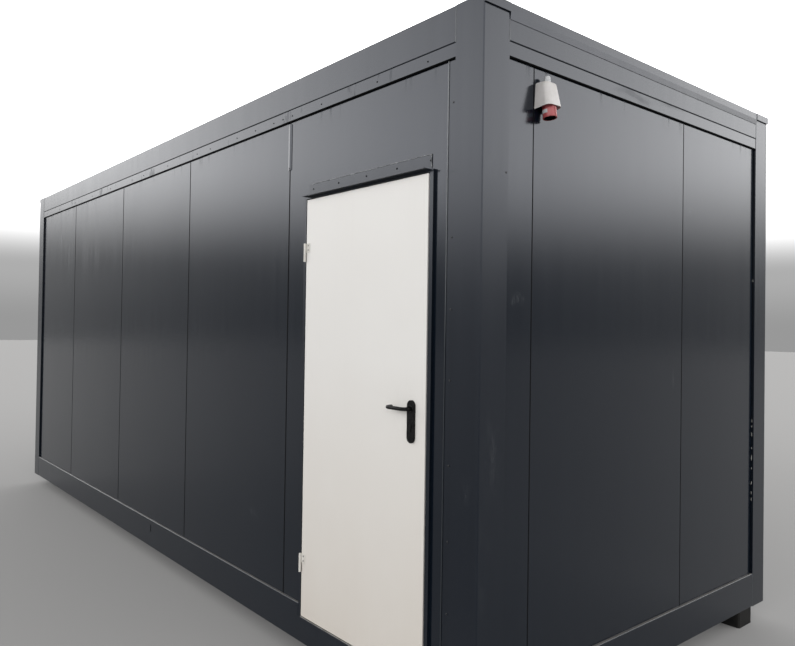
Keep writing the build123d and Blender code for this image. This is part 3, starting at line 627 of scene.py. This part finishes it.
# %% [markdown]
# ## Screws
#
# The cover strips are held by small pan-head screws. One is modelled: a disc whose rim is rounded by a
# bevel, with a small recess sunk by an inset. Its places along the front were measured, and the
# back repeats the same spacing. The roof sheet is fixed through its ribs with the same screw, larger.


# %% Model one pan-head screw
def pan_head(radius, height):
    """A pan-head screw that stands on z = 0, with a small sunken recess."""
    begin()
    bpy.ops.mesh.primitive_cylinder_add(vertices=16, radius=radius, depth=height, location=(0, 0, height / 2))
    screw = bpy.context.object
    settle(screw)
    edit("FACE")
    pick(lambda f: f.calc_center_median().z > height * 0.99)
    bpy.ops.mesh.inset(thickness=radius * 0.5, depth=0)
    bpy.ops.mesh.inset(thickness=radius * 0.12, depth=-height * 0.3)
    bpy.ops.mesh.select_mode(type="EDGE")
    pick(lambda e: all(v.co.z > height * 0.99 and v.co.xy.length > radius * 0.9 for v in e.verts), "edges")
    bpy.ops.mesh.bevel(offset=height * 0.55, segments=3, affect="EDGES")
    bpy.ops.object.mode_set(mode="OBJECT")
    return screw


# %% Set the head strips' screws
def along(distance):
    """The X of a place measured along the front from the near corner."""
    return wall_end - distance


strip_screw_z = (strip_low + panel_high.z) / 2 - 0.005
strip_break = 1.395
near_strip_y = wall_front
far_strip_y = wall_front + 0.0015
screw_steps = [
    0.30, 0.62, 1.042, 1.30, 1.39, 1.483, 1.676, 1.886, 2.224, 2.404, 2.86, 3.286, 3.511, 3.98, 4.42,
]
screw_steps += [4.9, 5.38, 5.8]
places = []
for step in screw_steps:
    strip_y = near_strip_y if step < strip_break else far_strip_y
    places.append(((along(step), strip_y, strip_screw_z), (0, -1, 0)))
    places.append(((-along(step), -far_strip_y - 0.0008, strip_screw_z), (0, 1, 0)))
strip_screws = set_out(pan_head(0.0036, 0.002), places)
hand_over(strip_screws, "head_strip_screws", "root", dark_screw_finish)

# %% Set the screws of the cover strips and the rain hood
cover_low, cover_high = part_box("post_cover_strip")
cover_y = panel_front - 0.002
cover_x = (cover_low.x + cover_high.x) / 2
cover_screw_heights = (2.519, 1.994, 1.714, 1.439, 1.110, 0.818, 0.541)
places = [((cover_x, cover_y, height), (0, -1, 0)) for height in cover_screw_heights]
joint_low, joint_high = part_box("joint_cover_strip")
joint_x = (joint_low.x + joint_high.x) / 2
places.append(((joint_x, joint_low.y, joint_low.z + 0.008), (0, -1, 0)))
places.append(((wall_end, wall_front + 0.134, 2.238), (1, 0, 0)))
cover_screws = set_out(pan_head(0.0038, 0.0022), places)
hand_over(cover_screws, "cover_strip_screws", "root", screw_finish)

places = []
hood_low, hood_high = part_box("rain_hood")
hood_screw_z = hood_high.z - 0.026
hood_screw_step = 0.207
for count in range(5):
    screw_x = hood_high.x - 0.006 - count * hood_screw_step
    places.append(((screw_x, cover_y, hood_screw_z), (0, -1, 0)))
hood_screws = set_out(pan_head(0.0038, 0.0022), places)
hand_over(hood_screws, "rain_hood_screws", "root", dark_screw_finish)

# %% Set the screws of the roof sheet
sheet_low, sheet_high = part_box("roof_sheet")
rib_count = 11
rib_pitch = (sheet_high.y - sheet_low.y) / rib_count
places = []
for rib in range(rib_count):
    rib_y = sheet_low.y + (rib + 0.5) * rib_pitch
    for x in (-2.9, -1.74, -0.58, 0.58, 1.74, 2.9):
        places.append(((x, rib_y, sheet_high.z), (0, 0, 1)))
roof_screws = set_out(pan_head(0.0085, 0.004), places)
hand_over(roof_screws, "roof_sheet_screws", "root", zinc_screw_finish)

# %% [markdown]
# ## Rubber seals and black shadow strips
#
# A black strip fills the step under each head strip, where it meets the panels. It is painted shadow:
# the dark line that frames the walls is the shade in that step. Thinner black strips run up beside each
# corner post as painted shade in the recess there, and black rubber runs round the door stop.
# Each run is a bar with rounded edges, so light catches its corner softly.

# %% Lay the black shadow strips along the walls
# The black strip under each head strip is painted shadow for the shade in that step.
shadow_strip_height = 0.004
shadow_strip_out = 0.009
post_shadow_strip = 0.0025
runs = []
near_x = along(post_face)
far_y = -wall_front - post_face
shadow_strip_low = strip_low - shadow_strip_height
for face, inward in ((panel_front, -1), (-panel_front, 1)):
    low_y, high_y = sorted((face, face + inward * shadow_strip_out))
    runs.append(bar((-near_x, low_y, shadow_strip_low), (near_x, high_y, strip_low), 0.001))
for side in (1, -1):
    low_x, high_x = sorted((side * end_panel_face, side * (end_panel_face + shadow_strip_out)))
    runs.append(bar((low_x, -far_y, shadow_strip_low), (high_x, far_y, strip_low), 0.001))
hand_over(join(runs), "head_strip_shadow_strips", "root", rubber_and_shadow_finish)

# The thin black strips beside the corner posts are painted shade for the recess beside each post.
runs = []
for side in (1, -1):
    low_x, high_x = sorted((side * end_panel_face, side * (end_panel_face + post_shadow_strip)))
    for y in (-far_y, far_y - post_shadow_strip):
        runs.append(bar((low_x, y, rail_top), (high_x, y + post_shadow_strip, shadow_strip_low), 0.001))
for x in (-near_x, near_x - post_shadow_strip):
    runs.append(bar((x, -panel_front, rail_top), (x + post_shadow_strip, -panel_front + post_shadow_strip, shadow_strip_low), 0.001))
post_strip_start = (-near_x, panel_front - post_shadow_strip, rail_top)
runs.append(bar(post_strip_start, (-near_x + post_shadow_strip, panel_front, shadow_strip_low), 0.001))
hand_over(join(runs), "post_shadow_strips", "root", rubber_and_shadow_finish)

# %% Close the panel joints
joint_width = 0.008
end_joint_width = 0.005
joint_proud = 0.0006
front_joints = (1.333, 2.521, 3.709, 4.897)
end_joints = (0.310, 1.498)
runs = []
for step in front_joints:
    for face, outward in ((panel_front, -1), (-panel_front, 1)):
        low_y, high_y = sorted((face, face + outward * joint_proud))
        x = along(step)
        runs.append(bar((x - joint_width / 2, low_y, rail_top), (x + joint_width / 2, high_y, shadow_strip_low)))
for step in end_joints:
    y = wall_front + step
    for side in (1, -1):
        low_x, high_x = sorted((side * end_panel_face, side * (end_panel_face + joint_proud)))
        joint_start = (low_x, y - end_joint_width / 2, rail_top)
        runs.append(bar(joint_start, (high_x, y + end_joint_width / 2, shadow_strip_low)))
hand_over(join(runs), "panel_joint_seals", "root", rubber_and_shadow_finish, 0)

# %% Line the door stop with its gasket
gasket = 0.0035
stop_y = door_high.y + 0.005
gasket_width = 0.012
left_x = door_low.x + 0.001
right_x = door_high.x - 0.001
top_z = door_high.z
runs = []
for x in (left_x, right_x - gasket_width):
    gasket_end = (x + gasket_width, stop_y, top_z - gasket_width)
    runs.append(bar((x, stop_y - gasket, door_low.z), gasket_end, 0.0012))
runs.append(bar((left_x, stop_y - gasket, top_z - gasket_width), (right_x, stop_y, top_z), 0.0012))
hand_over(join(runs), "door_gasket", "root", rubber_and_shadow_finish)

# %% [markdown]
# ## Welds, the cover strip's hem and old sealant
#
# The rails are welded to the posts, and the beads are painted paler than the frame: partly worn paint,
# partly a painted highlight along each bead. The cover strip beside the door ends in a rolled hem whose
# paint grows lighter higher up: a painted highlight of the light it catches. At the far post the old
# sealant has peeled, and left a few pale flecks in the joint.


# %% Run the weld beads up the posts
def rod(start, end, radius, sides=8):
    """A round bar between two points."""
    begin()
    start, end = Vector(start), Vector(end)
    turn = (end - start).to_track_quat("Z", "Y").to_euler()
    bpy.ops.mesh.primitive_cylinder_add(
        vertices=sides, radius=radius, depth=(end - start).length, location=(start + end) / 2, rotation=turn,
    )
    piece = bpy.context.object
    settle(piece)
    return piece


bead_radius = 0.003
bead_sunk = 0.0018
lip_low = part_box("gutter_lips")[0].z
foot_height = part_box("feet")[1].z
runs = []
for side_x in (1, -1):
    for side_y in (1, -1):
        long_x = side_x * near_x
        long_y = side_y * (-wall_front - (bead_sunk if side_y < 0 else bead_radius))
        short_x = side_x * (wall_end - bead_sunk)
        short_y = side_y * far_y
        for low, high in ((panel_high.z, roof_line - 0.004), (foot_height + 0.004, rail_top)):
            runs.append(rod((long_x, long_y, low), (long_x, long_y, high), bead_radius))
        for low, high in ((panel_high.z, lip_low), (foot_height + 0.004, rail_top)):
            runs.append(rod((short_x, short_y, low), (short_x, short_y, high), bead_radius))
# The beads' pale finish is partly worn paint and partly a painted highlight.
hand_over(join(runs), "weld_beads", "root", worn_and_highlit_edge_finish, 50)

# %% Roll the hem of the cover strip
hem_radius = 0.0026
hem_reach = 0.010
hem_gauge = 0.0015
hem_top_x = cover_low.x - hem_reach * 0.7
hem_foot_x = cover_low.x - hem_reach * 1.2
hem_y = panel_front - hem_radius
# The hem's finish carries a painted highlight, lighter higher up.
hem = rod((hem_foot_x, hem_y, rail_top), (hem_top_x, hem_y, shadow_strip_low), hem_radius, 12)
hand_over(hem, "cover_strip_hem", "root", hem_highlight_finish, 60)
tongue = bar((hem_top_x, panel_front - hem_gauge, rail_top), (cover_low.x, panel_front, shadow_strip_low))
hand_over(tongue, "cover_strip_tongue", "root", frame_paint)

# %% Chip the paint along the hood's flange, and paint a highlight on its end
chip = 0.0018
flange_y = panel_front - 0.002
chips = [
    bar(
        (hood_low.x + 0.03, flange_y - chip, hood_high.z - chip),
        (hood_high.x - chip, flange_y, hood_high.z),
    ),
    # This bar covers the flange's end face, which lies in shade, with the pale finish: a painted highlight.
    bar(
        (hood_high.x - chip, flange_y - chip, hood_low.z + 0.012),
        (hood_high.x + 0.0006, panel_front, hood_high.z),
    ),
]
hand_over(join(chips), "rain_hood_chipped_and_highlit_edge", "root", chipped_and_highlit_finish)

# %% Leave flecks of old sealant at the far post
fleck_places = [
    (1.137, 0.0022, 0.010, 0.2), (1.106, 0.0016, 0.006, -0.3), (1.061, 0.0024, 0.013, 0.1),
    (0.983, 0.0018, 0.008, 0.5),
    (0.929, 0.0026, 0.016, -0.15), (0.868, 0.0015, 0.007, 0.3), (0.787, 0.0022, 0.012, -0.4),
    (0.730, 0.0017, 0.009, 0.1),
    (0.693, 0.0020, 0.011, 0.25), (1.935, 0.0020, 0.008, 0.1),
]
flecks = []
for height, half_width, half_height, lean in fleck_places:
    begin()
    bpy.ops.mesh.primitive_ico_sphere_add(
        subdivisions=2, radius=1, location=(end_panel_face + 0.0035, far_y - 0.002, height),
        rotation=(lean, 0, 0), scale=(0.0012, half_width, half_height),
    )
    settle(bpy.context.object)
    flecks.append(bpy.context.object)
hand_over(join(flecks), "sealant_flecks", "root", fleck_finish, 50)

# %% [markdown]
# ## The power inlet
#
# The hood is a moulded shell: narrow and shallow at its top, wider and deeper at its mouth, with full
# round corners. It starts as a block whose top is scaled in. Its open underside is deleted, the corners
# are bevelled in many steps, and a solidify modifier gives the wall its thickness. A cable gland stands
# on top. The sleeve gets a rolled rim, and a black lining with the contact block that carries the pins;
# their black is painted shade for the dark inside of the downward mouth.

# %% Mould the inlet hood
gland_low, gland_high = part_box("inlet_gland")
inlet_y = (gland_low.y + gland_high.y) / 2
hood_height = 0.103
hood_width = 0.092
hood_depth = 0.0722
top_width = 0.078
top_depth = 0.052
lean = math.radians(7)
mouth_z = gland_low.z - hood_height
nose_rise = (hood_depth / 2) * math.tan(lean)
hood_middle = end_panel_face + hood_depth / 2
begin()
bpy.ops.mesh.primitive_cube_add(
    size=1,
    location=(hood_middle, inlet_y, mouth_z + hood_height / 2),
    scale=(hood_depth, hood_width, hood_height),
)
shell = bpy.context.object
settle(shell)
edit("VERT")
pick(lambda v: v.co.z > mouth_z + hood_height / 2, "verts")
bpy.ops.transform.resize(
    value=(top_depth / hood_depth, top_width / hood_width, 1),
    center_override=(end_panel_face, inlet_y, mouth_z + hood_height),
)
for rise, nose_side in ((nose_rise, True), (-nose_rise, False)):
    pick(lambda v: v.co.z < mouth_z + 0.02 and (v.co.x > hood_middle) == nose_side, "verts")
    bpy.ops.transform.translate(value=(0, 0, rise))
bpy.ops.mesh.select_mode(type="FACE")
pick(lambda f: abs(f.normal.z) > 0.9 and f.calc_center_median().z < mouth_z + 0.01)
bpy.ops.mesh.delete(type="FACE")
pick(lambda f: f.normal.x < -0.9)
bpy.ops.mesh.delete(type="FACE")
bpy.ops.mesh.select_mode(type="EDGE")
nose_x = end_panel_face + 0.02
pick(
    lambda e: all(v.co.x > nose_x for v in e.verts)
    and abs(e.verts[0].co.z - e.verts[1].co.z) > 0.05,
    "edges",
)
bpy.ops.mesh.bevel(offset=0.024, segments=8, affect="EDGES")
bpy.ops.mesh.select_all(action="DESELECT")
top_z = mouth_z + hood_height
pick(
    lambda e: all(v.co.z > top_z - 0.001 for v in e.verts)
    and any(v.co.x > nose_x - 0.019 for v in e.verts),
    "edges",
)
bpy.ops.mesh.bevel(offset=0.011, segments=5, affect="EDGES")
bpy.ops.object.mode_set(mode="OBJECT")
wall = shell.modifiers.new("wall", "SOLIDIFY")
wall.thickness = 0.003
wall.offset = -1
bpy.ops.object.modifier_apply(modifier=wall.name)
hand_over(shell, "inlet_hood_shell", "root", inlet_white_finish, 50)
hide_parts("inlet_housing")

# %% Turn the gland
gland = (gland_low + gland_high) / 2
nut_height = 0.012
begin()
bpy.ops.mesh.primitive_cylinder_add(
    vertices=6, radius=0.014, depth=nut_height, location=(gland.x, gland.y, gland_low.z + nut_height / 2),
)
nut = bpy.context.object
settle(nut)
edit("EDGE")
bpy.ops.mesh.select_all(action="SELECT")
bpy.ops.mesh.bevel(offset=0.0012, segments=2, affect="EDGES")
bpy.ops.object.mode_set(mode="OBJECT")
begin()
cap_height = gland_high.z - gland_low.z - nut_height
bpy.ops.mesh.primitive_cylinder_add(
    vertices=28, radius=0.0125, depth=cap_height, location=(gland.x, gland.y, gland_high.z - cap_height / 2),
)
cap = bpy.context.object
settle(cap)
edit("EDGE")
pick(lambda e: all(v.co.z > gland_high.z - 0.001 for v in e.verts), "edges")
bpy.ops.mesh.bevel(offset=0.008, segments=5, affect="EDGES")
bpy.ops.object.mode_set(mode="OBJECT")
turned = hand_over(join([nut, cap]), "inlet_gland_turned", "root", gland_finish, 40)
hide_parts("inlet_gland")

# %% Add the sleeve's rims, its lining and a pale band on the sleeve
sleeve_radius = 0.028
sleeve_drop = 0.042
sleeve_wall = 0.0035
sleeve_turn = (0, -lean, 0)
sleeve_axis = Vector((-math.sin(lean), 0, math.cos(lean)))
sleeve_foot = Vector((end_panel_face + 0.037, inlet_y, mouth_z)) - sleeve_axis * sleeve_drop


def up_sleeve(distance):
    """A point on the sleeve's axis, measured up from its mouth."""
    return sleeve_foot + sleeve_axis * distance


rings = []
for distance, minor in ((0.0016, 0.0016), (sleeve_drop - 0.007, 0.0014)):
    begin()
    bpy.ops.mesh.primitive_torus_add(
        major_segments=40, minor_segments=8, major_radius=sleeve_radius - minor * 0.35, minor_radius=minor,
        location=up_sleeve(distance), rotation=sleeve_turn,
    )
    rings.append(bpy.context.object)
    settle(rings[-1])
hand_over(join(rings), "inlet_sleeve_rings", "root", inlet_red_finish, 60)

# The black lining and contact block are painted shade for the dark inside of the downward mouth.
lining_height = sleeve_drop - 0.001
begin()
bpy.ops.mesh.primitive_cylinder_add(
    vertices=36, radius=sleeve_radius - sleeve_wall - 0.0002, depth=lining_height, end_fill_type="NOTHING",
    location=up_sleeve(0.0005 + lining_height / 2), rotation=sleeve_turn,
)
lining = bpy.context.object
settle(lining)
wall = lining.modifiers.new("wall", "SOLIDIFY")
wall.thickness = 0.0006
wall.offset = -1
bpy.ops.object.modifier_apply(modifier=wall.name)
block = rod(up_sleeve(sleeve_drop - 0.014), up_sleeve(sleeve_drop - 0.001), 0.019, 32)
hand_over(join([lining, block]), "inlet_contact_block", "root", rubber_and_shadow_finish, 50)

# A pale band wraps part of the sleeve.
plate_height = 0.015
plate_from = math.radians(-135)
plate_to = math.radians(-68)
begin()
bpy.ops.mesh.primitive_cylinder_add(
    vertices=72, radius=sleeve_radius + 0.0008, depth=plate_height, end_fill_type="NOTHING",
    location=up_sleeve(sleeve_drop - 0.010 - plate_height / 2), rotation=sleeve_turn,
)
pale_sleeve_band = bpy.context.object
settle(pale_sleeve_band)
edit("FACE")


def off_plate(face):
    """Whether a face lies outside the plate's stretch of the sleeve."""
    middle = face.calc_center_median()
    across = middle.x - up_sleeve(sleeve_drop - 0.017).x
    return not plate_from < math.atan2(middle.y - inlet_y, across) < plate_to


pick(off_plate)
bpy.ops.mesh.delete(type="FACE")
bpy.ops.object.mode_set(mode="OBJECT")
wall = pale_sleeve_band.modifiers.new("wall", "SOLIDIFY")
wall.thickness = 0.0007
wall.offset = -1
bpy.ops.object.modifier_apply(modifier=wall.name)
hand_over(pale_sleeve_band, "inlet_pale_sleeve_band", "root", gland_finish, 50)

# %% [markdown]
# ## The lever handles
#
# The lever is one round bar: out of its plate, round a bend, along the leaf, and round another bend back
# towards the leaf, so that a sleeve can't catch on it. A circle is extruded for the straight runs and
# spun for the bends, which is how a bar is bent on a bench. The inside lever is the same bar, mirrored.
# A turned collar covers the hole that the neck passes through.

# %% Model the lever
bar_radius = 0.008
reach = 0.110
out = 0.046
bend = 0.018
back_to = 0.012


def extrude_by(step):
    """Extrude what is selected by a step."""
    bpy.ops.mesh.extrude_region_move(TRANSFORM_OT_translate={"value": step})


def bend_round(centre, turn):
    """Spin what is selected round an upright axis."""
    bpy.ops.mesh.spin(steps=8, angle=turn, center=centre, axis=(0, 0, 1), use_normal_flip=False)


def lever(face_y, outward):
    """A bent round bar that leaves the leaf at face_y towards outward along Y."""
    begin()
    bpy.ops.mesh.primitive_circle_add(
        vertices=24, radius=bar_radius, fill_type="NGON",
        location=(spindle.x, face_y + outward * 0.0003, spindle.z), rotation=(math.pi / 2, 0, 0),
    )
    piece = bpy.context.object
    settle(piece)
    bpy.ops.object.mode_set(mode="EDIT")
    bpy.ops.mesh.select_mode(type="FACE")
    bpy.ops.mesh.select_all(action="SELECT")
    extrude_by((0, outward * (out - bend), 0))
    corner_y = face_y + outward * (out - bend)
    turn = -math.pi / 2 * outward
    bend_round((spindle.x - bend, corner_y, spindle.z), turn)
    extrude_by((-(reach - 2 * bend), 0, 0))
    bend_round((spindle.x - reach + bend, corner_y, spindle.z), turn)
    extrude_by((0, -outward * (out - bend - back_to), 0))
    bpy.ops.mesh.bevel(offset=0.003, segments=3, affect="EDGES")
    bpy.ops.mesh.select_all(action="SELECT")
    bpy.ops.mesh.remove_doubles(threshold=0.00005)
    bpy.ops.mesh.delete_loose()
    bpy.ops.mesh.normals_make_consistent(inside=False)
    bpy.ops.object.mode_set(mode="OBJECT")
    return piece


outside = hand_over(lever(door_low.y, -1), "outside_lever_bar", "handle", handle_finish)
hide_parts("outside_lever")
inside = hand_over(lever(door_high.y, 1), "inside_lever_bar", "handle", handle_finish)
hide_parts("inside_lever")

# %% Put the collars on the handle plates
plate_gauge = 0.009
collars = []
for face_y, outward in ((door_low.y, -1), (door_high.y, 1)):
    begin()
    bpy.ops.mesh.primitive_torus_add(
        major_segments=32, minor_segments=10, major_radius=0.0135, minor_radius=0.0022,
        location=(spindle.x, face_y + outward * plate_gauge, spindle.z), rotation=(math.pi / 2, 0, 0),
    )
    settle(bpy.context.object)
    collars.append(bpy.context.object)
hand_over(join(collars), "handle_collars", "door", handle_finish, 60)

# %% [markdown]
# ## Hinges
#
# Two small pan-head screws hold each hinge plate on the leaf.

# %% Add the screws of the hinges
hinge_low, hinge_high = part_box("hinge_frame_halves")
hinge_radius = 0.006
hinge_x = hinge_low.x + hinge_radius
hinge_y = hinge_low.y + hinge_radius
hinge_half = 0.045
hinge_middles = (hinge_low.z + hinge_half, hinge_high.z - hinge_half)
places = []
for height in hinge_middles:
    for up in (0.012, 0.034):
        places.append(((hinge_x + 0.022, door_low.y - 0.003, height + up), (0, -1, 0)))
hinge_screws = set_out(pan_head(0.004, 0.0018), places)
hand_over(hinge_screws, "hinge_screws", "door", zinc_screw_finish)
